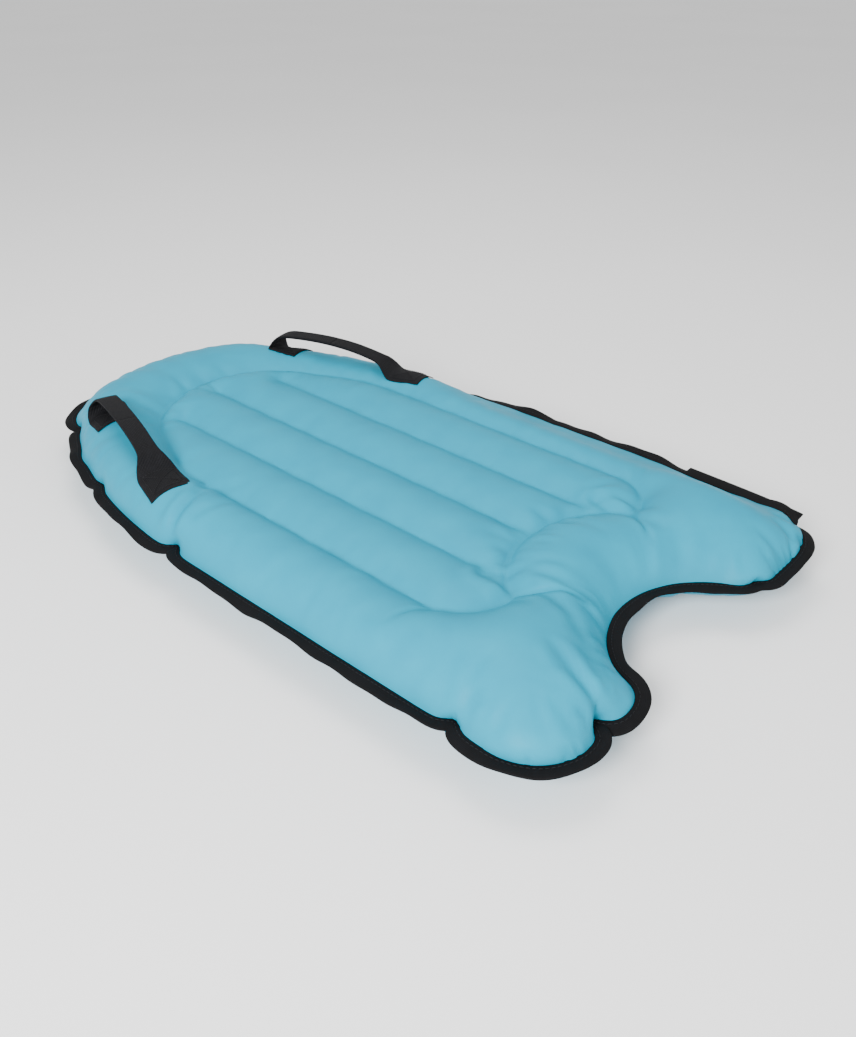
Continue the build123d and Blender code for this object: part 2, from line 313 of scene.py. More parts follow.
def settle(panel, x, guides, steps, push, passes=4, squeeze=0.15, bend=0.04, drag=0.92):
    """Blows the panel up: push lifts it along its normals, and its edges keep their flat lengths.

    squeeze is how much of a shortening is resisted, bend evens the cloth out, and drag slows it down.
    """
    n = len(x)
    f = panel.faces
    edges = np.unique(np.sort(np.concatenate([f[:, [0, 1]], f[:, [1, 2]], f[:, [2, 0]]]), 1), axis=0)
    a, b = edges[:, 0], edges[:, 1]
    rest = np.linalg.norm(panel.flat[a] - panel.flat[b], axis=1)
    e_rows, e_signs, e_count = table(n, a, b)
    e_signs = e_signs[..., None]
    who = f.T.reshape(-1)
    face_id = np.tile(np.arange(len(f)), 3)
    order = np.argsort(who, kind="stable")
    who_s, face_s = who[order], face_id[order]
    count = np.bincount(who, minlength=n)
    start = np.concatenate([[0], np.cumsum(count)[:-1]])
    f_rows = np.full((n, count.max()), len(f))
    f_rows[who_s, np.arange(len(who_s)) - start[who_s]] = face_s
    mean_area = np.mean(np.linalg.norm(np.cross(
        np.append(panel.flat[f[:, 1]] - panel.flat[f[:, 0]], np.zeros((len(f), 1)), 1),
        np.append(panel.flat[f[:, 2]] - panel.flat[f[:, 0]], np.zeros((len(f), 1)), 1)), axis=1)) * 6
    old = x.copy()
    scale = 1.6 / e_count[:, None]
    for _ in range(steps):
        v = (x - old) * drag
        old = x.copy()
        normal = np.cross(x[f[:, 1]] - x[f[:, 0]], x[f[:, 2]] - x[f[:, 0]])
        normal = np.append(normal, np.zeros((1, 3)), 0)
        force = normal[f_rows].sum(1) / mean_area
        x = x + v + push * force
        for _ in range(passes):
            d = x[b] - x[a]
            length = np.sqrt((d * d).sum(1))
            c = (length - rest) / length * 0.5
            c = np.where(c < 0, c * squeeze, c)
            corr = d * c[:, None]
            x = x + (corr[e_rows] * e_signs).sum(1) * scale
        if bend:
            lap = ((x[b] - x[a])[e_rows] * e_signs).sum(1) / e_count[:, None]
            x = x + bend * lap
        for guide in guides:
            guide(x)
    return x


GROOVE_Z = 29.6  # height of the welded grooves and the deck loop over the seam
PITCH = 84.0  # groove to groove on the blown-up board
FLAT_PITCH = 87.2  # and on the flat panel it is cut from
GROOVE_ENDS = [(-PITCH, -258.0, 250.0), (0.0, -236.0, 285.0), (PITCH, -258.0, 250.0)]

target_seam = board_loop(254, 40, (700, 31), (110, 37.4), -463, 113, -487, 60, 46)
target_deck = deck_loop(2 * PITCH, 90, (300, 32), 58, -251, 105, -252)
flat_seam = board_loop(282, 40, (720, 31), (128, 37.4), -487, 113, -509, 72, 50)
flat_deck = deck_loop(2 * FLAT_PITCH, 90, (308, 32), 60, -250, 108, -252)

# Tucks in the seam: place on the loop's parameter, depth (outward where it is negative) and half width
TUCKS = [
    (13.02, 17, 9), (12.1, 13, 10), (10.45, 24, 9), (13.5, 6, 13), (13.95, 11, 8),
    (14.3, -5, 24), (13.72, -4, 20), (4.38, 19, 9), (4.0, -7, 18), (6.45, 7, 12), (3.3, 4, 12), (9.3, -4, 20),
]
# The solver's stages, each on a mesh twice as fine as the last: steps, push, passes and bend
STAGES = [(380, 0.20, 6, 0.02), (330, 0.045, 7, 0.015), (230, 0.014, 8, 0.01)]
FIRST_SPACING = 22.0
HOLD_REACH = 55  # drift over more than this length of a held line is taken back


def tucked(u):
    """The seam's goal, with its tucks, and how firmly each point is held to it."""
    goal = target_seam.at(u)
    ahead, behind = target_seam.at(u + 0.01), target_seam.at(u - 0.01)
    along = ahead - behind
    along /= np.linalg.norm(along, axis=1)[:, None]
    inward = np.stack([along[:, 1], -along[:, 0]], 1)
    firm = np.full(len(u), 0.55)
    for place, depth, width in TUCKS:
        at = target_seam.at([place])[0]
        reach = np.linalg.norm(goal - at, axis=1) / width
        bump = np.exp(-reach**2)
        goal = goal + inward * (depth * bump)[:, None]
        firm = np.maximum(firm, bump)
    return goal, firm


def low_pass(values, reach, closed):
    """Smooths a run of values over reach neighbours on either side."""
    window = np.hanning(2 * reach + 3)[1:-1]
    window /= window.sum()
    if closed:
        padded = np.concatenate([values[-reach:], values, values[:reach]])
    else:
        padded = np.concatenate([np.repeat(values[:1], reach, 0), values, np.repeat(values[-1:], reach, 0)])
    return np.stack([np.convolve(padded[:, c], window, "valid") for c in range(values.shape[1])], 1)


def hold_line(panel, c, spacing, reach_mm):
    """Keeps one marked line near its goal: slow drift is taken back, short puckers are left free."""
    idx, u = panel.order(c)
    firm = np.full(len(u), 0.15)
    z = GROOVE_Z
    if c == 0:
        (goal, firm), z = tucked(u), 0.0
    elif c == 1:
        goal = target_deck.at(u)
    else:
        goal = np.stack([np.full(len(u), GROOVE_ENDS[c - 2][0]), u], 1)
    reach = max(1, int(reach_mm / spacing))

    def guide(x):
        off = x[idx, :2] - goal
        x[idx, :2] -= 0.5 * low_pass(off, reach, c < 2)
        x[idx, :2] -= 0.5 * firm[:, None] * (x[idx, :2] - goal)
        x[idx, 2] = z

    return guide


def rough_shape(panel):
    """A pillow close to the blown-up shape, to start from."""
    flat = panel.flat
    kind = np.array([m[0] for m in panel.marks])
    edge, inner = flat[kind == 0], flat[kind > 0]
    to_edge = np.sqrt(((flat[:, None] - edge[None]) ** 2).sum(2)).min(1)
    to_inner = np.sqrt(((flat[:, None] - inner[None]) ** 2).sum(2)).min(1)
    share = to_edge / (to_edge + to_inner + 1e-9)
    rim_rise = 22
    z = GROOVE_Z * share + rim_rise * np.sin(np.pi * np.clip(share, 0, 1))
    return np.stack([flat[:, 0] * 254 / 282, flat[:, 1] * 465 / 486, z], 1)


def blow_up():
    """The top panel, blown up at each mesh size in turn."""
    grooves = [(x * FLAT_PITCH / PITCH, low, high) for x, low, high in GROOVE_ENDS]
    spacing = FIRST_SPACING
    panel = Panel(flat_seam, flat_deck, grooves, spacing)
    x = rough_shape(panel)
    for k, (steps, push, passes, bend) in enumerate(STAGES):
        guides = [hold_line(panel, c, spacing, HOLD_REACH) for c in range(len(panel.curves))]
        x = settle(panel, x, guides, steps, push, passes, bend=bend)
        if k < len(STAGES) - 1:
            x = panel.split(x)
            spacing /= 2
    return panel, x


def place(points):
    """Board millimetres, measured from the seam plane, to metres in the frame."""
    points = np.asarray(points, float)
    return (points + np.array([0, -MIDDLE_Y, SEAM_Z])) * MM


def new_piece(name, points, faces, material, smooth=True):
    mesh = bpy.data.meshes.new(name)
    mesh.from_pydata([tuple(p) for p in points], [], [tuple(int(i) for i in f) for f in faces])
    mesh.validate()
    mesh.polygons.foreach_set("use_smooth", [smooth] * len(mesh.polygons))
    mesh.materials.append(material)
    piece = bpy.data.objects.new(name, mesh)
    bpy.context.scene.collection.objects.link(piece)
    return piece


# ---------------------------------------------------------------- materials


def node_material(name, roughness, **settings):
    material = bpy.data.materials.new(name)
    material.use_nodes = True
    shader = material.node_tree.nodes["Principled BSDF"]
    shader.inputs["Roughness"].default_value = roughness
    for socket, value in settings.items():
        shader.inputs[socket.replace("_", " ")].default_value = value
    return material, material.node_tree, shader


def coordinates(tree, kind="Object", scale=(1, 1, 1)):
    source = tree.nodes.new("ShaderNodeTexCoord")
    mapping = tree.nodes.new("ShaderNodeMapping")
    mapping.inputs["Scale"].default_value = scale
    tree.links.new(source.outputs[kind], mapping.inputs["Vector"])
    return mapping.outputs["Vector"]


def noise(tree, vector, scale, detail=2.0, rough=0.5):
    node = tree.nodes.new("ShaderNodeTexNoise")
    node.inputs["Scale"].default_value = scale
    node.inputs["Detail"].default_value = detail
    node.inputs["Roughness"].default_value = rough
    tree.links.new(vector, node.inputs["Vector"])
    return node.outputs["Fac"]


def wave(tree, vector, direction, scale, distortion=0.0):
    node = tree.nodes.new("ShaderNodeTexWave")
    node.bands_direction = direction
    node.inputs["Scale"].default_value = scale
    node.inputs["Distortion"].default_value = distortion
    tree.links.new(vector, node.inputs["Vector"])
    return node.outputs["Fac"]


def ramp(tree, value, stops):
    node = tree.nodes.new("ShaderNodeValToRGB")
    tree.links.new(value, node.inputs["Fac"])
    elements = node.color_ramp.elements
    while len(elements) < len(stops):
        elements.new(0.5)
    for element, (position, colour) in zip(elements, stops):
        element.position = position
        element.color = (*colour, 1)
    return node.outputs["Color"]


def combine(tree, operation, first, second):
    node = tree.nodes.new("ShaderNodeMath")
    node.operation = operation
    tree.links.new(first, node.inputs[0])
    if isinstance(second, (int, float)):
        node.inputs[1].default_value = second
    else:
        tree.links.new(second, node.inputs[1])
    return node.outputs["Value"]


def bump(tree, shader, height, distance, strength=1.0, below=None):
    node = tree.nodes.new("ShaderNodeBump")
    node.inputs["Distance"].default_value = distance
    node.inputs["Strength"].default_value = strength
    tree.links.new(height, node.inputs["Height"])
    if below is not None:
        tree.links.new(below, node.inputs["Normal"])
    tree.links.new(node.outputs["Normal"], shader.inputs["Normal"])
    return node.outputs["Normal"]


def roughness_from(tree, shader, value, low, high):
    node = tree.nodes.new("ShaderNodeMapRange")
    node.inputs["To Min"].default_value = low
    node.inputs["To Max"].default_value = high
    tree.links.new(value, node.inputs["Value"])
    tree.links.new(node.outputs["Result"], shader.inputs["Roughness"])


def coated_cloth():
    """Satin cyan cloth: a fine weave under the coating, faint mottling and small slack ripples."""
    material, tree, shader = node_material("coated_cloth", 0.42)
    shader.inputs["Specular IOR Level"].default_value = 0.1
    where = coordinates(tree)
    mottle = noise(tree, where, 26, 3)
    colour = ramp(tree, mottle, [(0.25, (0.0, 0.245, 0.37)), (0.75, (0.0, 0.275, 0.405))])
    tree.links.new(colour, shader.inputs["Base Color"])
    roughness_from(tree, shader, noise(tree, where, 60, 2), 0.38, 0.5)
    ripple = bump(tree, shader, noise(tree, where, 34, 2, 0.45), 0.0016, 0.35)
    threads = combine(tree, "ADD", wave(tree, where, "X", 330, 0.6), wave(tree, where, "Y", 330, 0.6))
    bump(tree, shader, threads, 0.00006, 0.5, ripple)
    return material


def ribbed_tape(name, shade):
    """Black folded tape: ribs across it and a slightly faded nap."""
    material, tree, shader = node_material(name, 0.75)
    shader.inputs["Specular IOR Level"].default_value = 0.12
    where = coordinates(tree)
    patchy = noise(tree, where, 90, 4, 0.6)
    low, high = tuple(c * 0.7 for c in shade), tuple(c * 1.5 for c in shade)
    tree.links.new(ramp(tree, patchy, [(0.3, low), (0.75, high)]), shader.inputs["Base Color"])
    roughness_from(tree, shader, patchy, 0.65, 0.85)
    along = coordinates(tree, "UV")
    ribs = combine(tree, "MULTIPLY", wave(tree, along, "Y", 330, 0.4), wave(tree, along, "X", 200, 0.4))
    bump(tree, shader, ribs, 0.00025, 0.8)
    return material


def webbing_cloth():
    """Heavy black webbing: slanted weave and cross ribs, a little grey where it is rubbed."""
    material, tree, shader = node_material("webbing_cloth", 0.7)
    shader.inputs["Specular IOR Level"].default_value = 0.15
    where = coordinates(tree)
    rubbed = noise(tree, where, 120, 4, 0.6)
    colour = ramp(tree, rubbed, [(0.3, (0.0022, 0.0022, 0.003)), (0.8, (0.006, 0.0063, 0.008))])
    tree.links.new(colour, shader.inputs["Base Color"])
    roughness_from(tree, shader, rubbed, 0.6, 0.85)
    along = coordinates(tree, "UV")
    twill = combine(tree, "ADD", wave(tree, along, "DIAGONAL", 160, 0.3), wave(tree, along, "Y", 120, 0.3))
    bump(tree, shader, twill, 0.0004, 0.8)
    return material


def thread_cloth():
    material, tree, shader = node_material("thread_cloth", 0.6)
    shader.inputs["Specular IOR Level"].default_value = 0.2
    where = coordinates(tree)
    twist = wave(tree, where, "DIAGONAL", 900, 1.0)
    colour = ramp(tree, twist, [(0.2, (0.004, 0.004, 0.005)), (0.9, (0.012, 0.012, 0.014))])
    tree.links.new(colour, shader.inputs["Base Color"])
    bump(tree, shader, twist, 0.0001, 0.6)
    return material


def plain_solid(name, low, high, roughness, grain, depth):
    """Moulded or rolled stock: faint colour drift, uneven gloss and a fine grain."""
    material, tree, shader = node_material(name, roughness)
    where = coordinates(tree)
    drift = noise(tree, where, 45, 3)
    tree.links.new(ramp(tree, drift, [(0.3, low), (0.75, high)]), shader.inputs["Base Color"])
    roughness_from(tree, shader, drift, roughness - 0.08, roughness + 0.08)
    bump(tree, shader, noise(tree, where, grain, 3), depth, 0.5)
    return material


cloth = coated_cloth()
tape = ribbed_tape("edge_tape", (0.0028, 0.0028, 0.0034))
webbing = webbing_cloth()
thread = thread_cloth()
black_plastic = plain_solid("black_plastic", (0.012, 0.012, 0.014), (0.022, 0.022, 0.025), 0.42, 900, 0.0001)
base_rubber = plain_solid("base_rubber", (0.03, 0.40, 0.52), (0.045, 0.47, 0.60), 0.5, 700, 0.0001)
grey_rubber = plain_solid("grey_rubber", (0.16, 0.16, 0.17), (0.22, 0.22, 0.23), 0.6, 700, 0.0001)
baffle_cloth = plain_solid("baffle_cloth", (0.62, 0.66, 0.68), (0.74, 0.77, 0.78), 0.8, 1200, 0.0002)

FINISHES = {
    "rim_baffle": baffle_cloth,
    "baffle_left": baffle_cloth,
    "baffle_centre": baffle_cloth,
    "baffle_right": baffle_cloth,
    "valve_base": base_rubber,
    "valve_insert": black_plastic,
    "valve_cap": black_plastic,
    "valve_cap_seal": grey_rubber,
    "valve_membrane": grey_rubber,
}
for node, finish in FINISHES.items():
    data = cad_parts[node].data
    data.materials.clear()
    data.materials.append(finish)


# ---------------------------------------------------------------- skins


VALVE = np.array([-1.5 * PITCH, -215.0])
VALVE_FACE = -38.6  # where the underside lies round the valve
FLAT_FROM = 36  # the underside flattens from this far below the seam
REST_Z = 43.6  # and stays above this, just over the ground


def smooth_step(values, low, high):
    t = np.clip((values - low) / (high - low), 0, 1)
    return t * t * (3 - 2 * t)


def lean(points):
    """The right edge is drawn up behind the handle, and the rim above it is pulled lower."""
    points = points.copy()
    near = smooth_step(points[:, 0], 172, 245) * smooth_step(-points[:, 1], -120, 30)
    raised = 17 - 8 * smooth_step(-points[:, 1], 200, 440)
    over = np.clip(points[:, 2] / SEAM_Z, 0, 1)
    points[:, 2] += near * (raised - (raised + 17) * over)
    return points


def rest(points):
    """The underside flattens where it lies on the ground."""
    points = points.copy()
    down = -points[:, 2]
    room = REST_Z - FLAT_FROM
    flat = FLAT_FROM + room * (1 - np.exp(-(down - FLAT_FROM) / room))
    points[:, 2] = -np.where(down > FLAT_FROM, flat, down)
    return points


panel, blown = blow_up()

# Folds that run in from the seam: plan points, depth and half width
FOLDS = [
    ([(-243, 56), (-220, 60), (-196, 66), (-176, 84)], 6.0, 6.5),
    ([(-176, 84), (-160, 62), (-152, 48)], 2.5, 6.0),
    ([(-222, 34), (-200, 28), (-180, 30)], 1.8, 6.0),
    ([(-250, -371), (-232, -366), (-215, -352)], 4.0, 7.0),
    ([(-165, -455), (-164, -428), (-157, -405), (-148, -385)], 7.0, 6.5),
    ([(-186, -458), (-180, -440)], 2.5, 5.5),
    ([(232, -436), (222, -418), (212, -396)], 5.0, 6.5),
    ([(205, -452), (200, -432)], 3.0, 5.5),
    ([(-99, -268), (-90, -300), (-88, -335), (-97, -372), (-118, -404), (-138, -420)], 4.0, 7.5),
    ([(-92, -262), (-70, -300), (-58, -345), (-52, -372)], 3.2, 7.0),
    ([(98, -266), (96, -300), (92, -335), (90, -362)], 4.5, 7.0),
    ([(104, -262), (122, -290), (128, -312)], 3.0, 6.5),
    ([(112, -252), (140, -262), (158, -268)], 2.5, 6.0),
    ([(-74, -284), (-50, -306), (-36, -330)], 2.2, 6.0),
    ([(28, -268), (34, -300), (36, -330)], 1.6, 7.0),
]


def gather(points, keep):
    """How far every point lies from a marked line and where along it, with the line's length and points."""
    idx, _ = panel.order(keep)
    line = blown[idx, :2]
    closed = np.concatenate([line, line[:1]])
    run = np.concatenate([[0], np.cumsum(np.linalg.norm(np.diff(closed, axis=0), axis=1))])
    nearest = np.empty(len(points), int)
    away = np.empty(len(points))
    for first in range(0, len(points), 2000):
        gap = np.linalg.norm(points[first:first + 2000, None, :2] - line[None], axis=2)
        nearest[first:first + 2000] = gap.argmin(1)
        away[first:first + 2000] = gap.min(1)
    after = np.roll(line, -1, 0) - np.roll(line, 1, 0)
    after /= np.linalg.norm(after, axis=1)[:, None]
    slide = ((points[:, :2] - line[nearest]) * after[nearest]).sum(1)
    return away, run[:-1][nearest] + slide, run[-1], line


def puckers(points, keep, every, depth, length, seed):
    """Short folds square to a stitched line, at uneven steps, each with a raised edge either side."""
    away, at, total, line = gather(points, keep)
    dice = np.random.default_rng(seed)
    height = np.zeros(len(points))
    place_at = 0.0
    while place_at < total:
        here = line[int(place_at / total * len(line))]
        step, strength = every(here)
        a = strength * depth * dice.uniform(0.35, 1.0)
        w = dice.uniform(4.5, 8.5)
        reach = length * dice.uniform(0.5, 1.2)
        sway = dice.uniform(-0.35, 0.35)
        s = (at - place_at - sway * away + total / 2) % total - total / 2
        fade = smooth_step(away, 0, 14) * (1 - smooth_step(away, 0.35 * reach, reach))
        shape = np.exp(-(s / w)**2)
        for edge in (1.8 * w, -1.8 * w):
            shape = shape - 0.55 * np.exp(-((s - edge) / w)**2)
        height -= a * fade * shape
        place_at += step * dice.uniform(0.6, 1.5)
    return height


def seam_step(here):
    """Step and strength along the seam: folds crowd together round the tail and its notch, then the nose."""
    y = here[1]
    if y < -380:
        return 24, 1.0
    if y > 330:
        return 34, 0.5
    return 48, 0.6


def deck_step(here):
    """Step and strength along the deck loop: gathered most across the tail bump, then round the nose."""
    x, y = abs(here[0]), here[1]
    if y < -235 and x < 112:
        return 21, 1.1
    if y > 200:
        return 30, 0.75
    return 60, 0.45


def crumple(points, seed, folds):
    """Presses puckers and larger folds into a skin. Nothing sinks below the tops of the baffles."""
    height = puckers(points, 0, seam_step, 2.6, 62, seed)
    height += puckers(points, 1, deck_step, 2.2, 44, seed + 1)
    for line, depth, width in folds:
        line = np.array(line, float)
        away = np.full(len(points), 1e9)
        share = np.zeros(len(points))
        lengths = np.linalg.norm(np.diff(line, axis=0), axis=1)
        run = np.concatenate([[0], np.cumsum(lengths)])
        for a, b, length, before in zip(line[:-1], line[1:], lengths, run):
            t = np.clip(((points[:, :2] - a) @ (b - a)) / length**2, 0, 1)
            gap = np.linalg.norm(points[:, :2] - (a + t[:, None] * (b - a)), axis=1)
            closer = gap < away
            away = np.where(closer, gap, away)
            share = np.where(closer, (before + t * length) / run[-1], share)
        fade = np.sqrt(np.clip(1 - share, 0, 1)) * smooth_step(points[:, 2], 0, 16)
        valley = np.exp(-(away / width)**2)
        bank = 0.45 * np.exp(-((away - 2 * width) / width)**2)
        height -= depth * fade * (valley - bank)
    lifted = points.copy()
    lifted[:, 2] += height * smooth_step(points[:, 2], 0, 12)
    by_baffle = gather(points, 1)[0] < 26
    lifted[by_baffle, 2] = np.maximum(lifted[by_baffle, 2], np.minimum(points[by_baffle, 2], GROOVE_Z + 0.4))
    return lifted


def round_valve(points):
    """The underside lies flat round the valve base, a little inside its face."""
    away = np.linalg.norm(points[:, :2] - VALVE, axis=1)
    share = smooth_step(away, 25, 55)
    points = points.copy()
    points[:, 2] = points[:, 2] * share + VALVE_FACE * (1 - share)
    return points


under = round_valve(rest(lean(crumple(blown, 31, []) * np.array([1, 1, -1]))))
blown = lean(crumple(blown, 7, FOLDS))
hole = np.linalg.norm(under[panel.faces].mean(1)[:, :2] - VALVE, axis=1) < 19
top_piece = new_piece("top_skin_cloth", place(blown), panel.faces, cloth)
under_piece = new_piece("bottom_skin_cloth", place(under), panel.faces[~hole][:, ::-1], cloth)
for piece, node in ((top_piece, "top_skin"), (under_piece, "bottom_skin")):
    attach(piece, "board")
    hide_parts(node)


# ---------------------------------------------------------------- edge tape


def closed_sweep(centre, outward, lift, profile):
    """Rings of a profile (outward, up) round a closed line, and each face's place: ring and profile point.

    lift raises the profile at its outer edge.
    """
    n, m = len(centre), len(profile)
    points = np.zeros((n, m, 3))
    for k, (out, up) in enumerate(profile):
        points[:, k, :2] = centre[:, :2] + outward * out
        points[:, k, 2] = centre[:, 2] + up + lift * max(out, 0) / TAPE_WIDTH
    faces, cells = [], []
    for i in range(n):
        for k in range(m):
            j, h = (i + 1) % n, (k + 1) % m
            faces.append((i * m + k, j * m + k, j * m + h, i * m + h))
            cells.append((i, k))
    return points.reshape(-1, 3), faces, cells


def paint_uv(piece, faces, corner_uv):
    layer = piece.data.uv_layers.new(name="UVMap")
    layer.data.foreach_set("uv", np.array(corner_uv, float).reshape(-1))


seam = blown[panel.order(0)[0]]


def resampled(line, spacing):
    """A closed line cut anew into even steps, and how far along it each point is."""
    closed = np.concatenate([line, line[:1]])
    run = np.concatenate([[0], np.cumsum(np.linalg.norm(np.diff(closed, axis=0), axis=1))])
    count = int(run[-1] / spacing)
    at = np.linspace(0, run[-1], count, endpoint=False)
    return np.stack([np.interp(at, run, closed[:, c]) for c in range(3)], 1), at


TAPE_STEP = 2.5
TAPE_WIDTH = 14
seam_line, seam_run = resampled(seam, TAPE_STEP)
seam_line = low_pass(seam_line, 2, True)


def outward_of(line, reach):
    """Plan directions that point away from the board all round a closed line."""
    smooth = low_pass(line[:, :2], reach, True)
    along = np.roll(smooth, -1, 0) - np.roll(smooth, 1, 0)
    along /= np.linalg.norm(along, axis=1)[:, None]
    out = np.stack([-along[:, 1], along[:, 0]], 1)
    return low_pass(out, reach, True)


outward = outward_of(seam_line, 5)
outward /= np.linalg.norm(outward, axis=1)[:, None]
turn = seam_run / seam_run[-1] * 2 * np.pi
lift = 1.6 * np.sin(turn * 17 + 0.6) + 1.2 * np.sin(turn * 29 + 2.1) + 0.8 * np.sin(turn * 53 + 4.0)
TAPE = [(-1.5, 1.0), (1.0, 1.7), (5.0, 1.75), (10.0, 1.6), (13.0, 1.35), (14.2, 0.7), (14.5, 0.0),
        (14.2, -0.7), (13.0, -1.35), (10.0, -1.6), (5.0, -1.75), (1.0, -1.7), (-1.5, -1.0)]
tape_points, tape_faces, tape_cells = closed_sweep(seam_line, outward, lift, TAPE)
tape_piece = new_piece("edge_tape", place(tape_points), tape_faces, tape)
across = np.concatenate([[0], np.cumsum(np.linalg.norm(np.diff(np.array(TAPE), axis=0), axis=1))]) * MM
uv = []
for i, k in tape_cells:
    s0, s1 = seam_run[i] * MM, (seam_run[i] + TAPE_STEP) * MM
    t0 = across[k]
    t1 = across[k + 1] if k + 1 < len(across) else across[k] + 0.002
    uv += [(t0, s0), (t0, s1), (t1, s1), (t1, s0)]
paint_uv(tape_piece, tape_faces, uv)
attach(tape_piece, "board")
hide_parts("edge_binding")


def loose_tape_end():
    """The side tape runs on straight past the right tail corner and ends square."""
    points, faces = [], []
    steps = 24
    m = len(TAPE)
    for i in range(steps + 1):
        y = -290 - 145 * i / steps
        root = lean(np.array([[256.0, y, 0.0]]))[0]
        rise = 0.4 + 3.4 * (i / steps) - 4.5 * (i / steps)**4
        for out, up in TAPE:
            points.append((root[0] - 1 + out * 1.12, y, root[2] + rise + up * 0.8 + 1.5 * out / TAPE_WIDTH))
    for i in range(steps):
        for k in range(m):
            h = (k + 1) % m
            faces.append((i * m + k, i * m + h, (i + 1) * m + h, (i + 1) * m + k))
    faces.append(tuple(range(m))[::-1])
    faces.append(tuple(steps * m + k for k in range(m)))
    return np.array(points), faces


points, faces = loose_tape_end()
loose_end = new_piece("edge_tape_end", place(points), faces, tape)
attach(loose_end, "board")
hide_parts("edge_binding")


def thread_run(starts, ends, normals, radius):
    """Short raised stitches from each start to each end, as low arches along the cloth."""
    points, faces = [], []
    for a, b, up in zip(starts, ends, normals):
        along = (b - a) / max(np.linalg.norm(b - a), 1e-9)
        side = np.cross(up, along)
        first = len(points)
        for t, rise, fat in ((0, -0.4, 0.6), (0.2, 0.6, 1), (0.5, 1.0, 1), (0.8, 0.6, 1), (1, -0.4, 0.6)):
            centre = a + (b - a) * t + up * rise * radius
            for angle in (0, 72, 144, 216, 288):
                c, s = math.cos(math.radians(angle)), math.sin(math.radians(angle))
                points.append(centre + (side * c + up * s) * radius * fat)
        for k in range(4):
            for j in range(5):
                a0, a1 = first + k * 5 + j, first + k * 5 + (j + 1) % 5
                faces.append((a0, a1, a1 + 5, a0 + 5))
    return np.array(points), faces


def tape_stitches():
    """One stitch for every other step of the seam, on the upper and on the lower side of the tape."""
    row_out, tape_face = 4.2, 1.8
    starts, ends, ups = [], [], []
    for i in range(0, len(seam_line) - 1, 2):
        j = (i + 1) % len(seam_line)
        for sign in (1, -1):
            a, b = (np.append(seam_line[n, :2] + outward[n] * row_out,
                              seam_line[n, 2] + tape_face * sign + lift[n] * 0.3) for n in (i, j))
            starts.append(a)
            ends.append(b + (b - a) * 0.35)
            ups.append(np.array([0, 0, float(sign)]))
    return thread_run(np.array(starts), np.array(ends), np.array(ups), 0.42)


points, faces = tape_stitches()
stitches = new_piece("edge_tape_stitches", place(points), faces, thread)
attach(stitches, "board")
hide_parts("binding_stitching")


# ---------------------------------------------------------------- handles


# The handles are worked out for the right side and mirrored: u runs forward along the strap, x across it
HANDLE_CENTRE = np.array([178.0, 217.0])
HANDLE_TURN = math.radians(15.3)
FORWARD = np.array([-math.sin(HANDLE_TURN), math.cos(HANDLE_TURN)])
ACROSS = np.array([math.cos(HANDLE_TURN), math.sin(HANDLE_TURN)])
WEBBING = 1.5  # thickness of one layer
SKIN_GAP = 0.25  # between the skin and the webbing that lies on it
PER_SPAN = 6  # rows of the strap's mesh from one given row to the next
skin_tree = BVHTree.FromPolygons([tuple(p) for p in blown], [tuple(int(i) for i in f) for f in panel.faces])


def skin_height(x, y):
    """Height of the top skin over the seam plane."""
    hit = skin_tree.ray_cast(Vector((x, y, 200)), Vector((0, 0, -1)))
    return hit[0].z if hit[0] is not None else 0.0


def on_board(u, x):
    return HANDLE_CENTRE + FORWARD * u + ACROSS * x


# Rows of the strap from its rear end to its front end: forward, up from the seam, width, thickness, and how
# far it lies on the skin
STRAP = [
    (-126, 46, 50, 1.5, 0.9), (-112, 45, 50, 1.5, 1), (-98, 45, 50, 1.5, 1), (-86, 45, 49.5, 1.5, 1),
    (-77, 46, 48, 1.6, 0.85), (-69, 49, 42, 2.1, 0.35), (-61, 53, 33, 2.8, 0.05), (-52, 56.5, 27, 3.5, 0),
    (-36, 60.5, 25, 4.0, 0), (-10, 65, 25, 4.0, 0), (20, 67.5, 25, 4.0, 0), (48, 68, 25, 4.0, 0),
    (74, 67, 25, 4.0, 0), (94, 65.5, 25.5, 3.9, 0), (106, 63, 27, 3.4, 0), (114.5, 59, 30, 3.0, 0),
    (119.5, 54, 36, 2.5, 0), (121.5, 49.5, 43, 2.0, 0.1), (120.5, 46.3, 49, 1.7, 0.55),
    (115, 45.2, 50, 1.5, 0.97), (112, 45, 50, 1.5, 1),
]
FRONT_TAB = [(117, 45, 50, 1.5, 1), (104, 45, 50, 1.5, 1), (90, 45, 50, 1.5, 1), (76, 45.6, 50, 1.5, 0.95)]
CUT_ROW = 10  # the row where the two halves of the strap meet


def spline_rows(rows, per_span):
    """Catmull-Rom rows through the given ones."""
    rows = np.array(rows, float)
    padded = np.concatenate([2 * rows[:1] - rows[1:2], rows, 2 * rows[-1:] - rows[-2:-1]])
    out = []
    for i in range(len(rows) - 1):
        p0, p1, p2, p3 = padded[i:i + 4]
        for k in range(per_span):
            t = k / per_span
            out.append(0.5 * (2 * p1 + (p2 - p0) * t + (2 * p0 - 5 * p1 + 4 * p2 - p3) * t**2
                              + (3 * p1 - p0 - 3 * p2 + p3) * t**3))
    out.append(rows[-1])
    return np.array(out)


def strap_rows(controls):
    rows = spline_rows(controls, PER_SPAN)
    rows[:, 4] = np.clip(rows[:, 4], 0, 1)
    return rows


# The strap's cross-section, in half widths and half thicknesses
SECTION = [
    (-1, -0.35), (-0.97, -0.8), (-0.9, -1), (-0.6, -1), (-0.3, -1), (0, -1), (0.3, -1), (0.6, -1),
    (0.9, -1), (0.97, -0.8), (1, -0.35), (1, 0.35), (0.97, 0.8), (0.9, 1), (0.6, 1), (0.3, 1), (0, 1),
    (-0.3, 1), (-0.6, 1), (-0.9, 1), (-0.97, 0.8), (-1, 0.35),
]


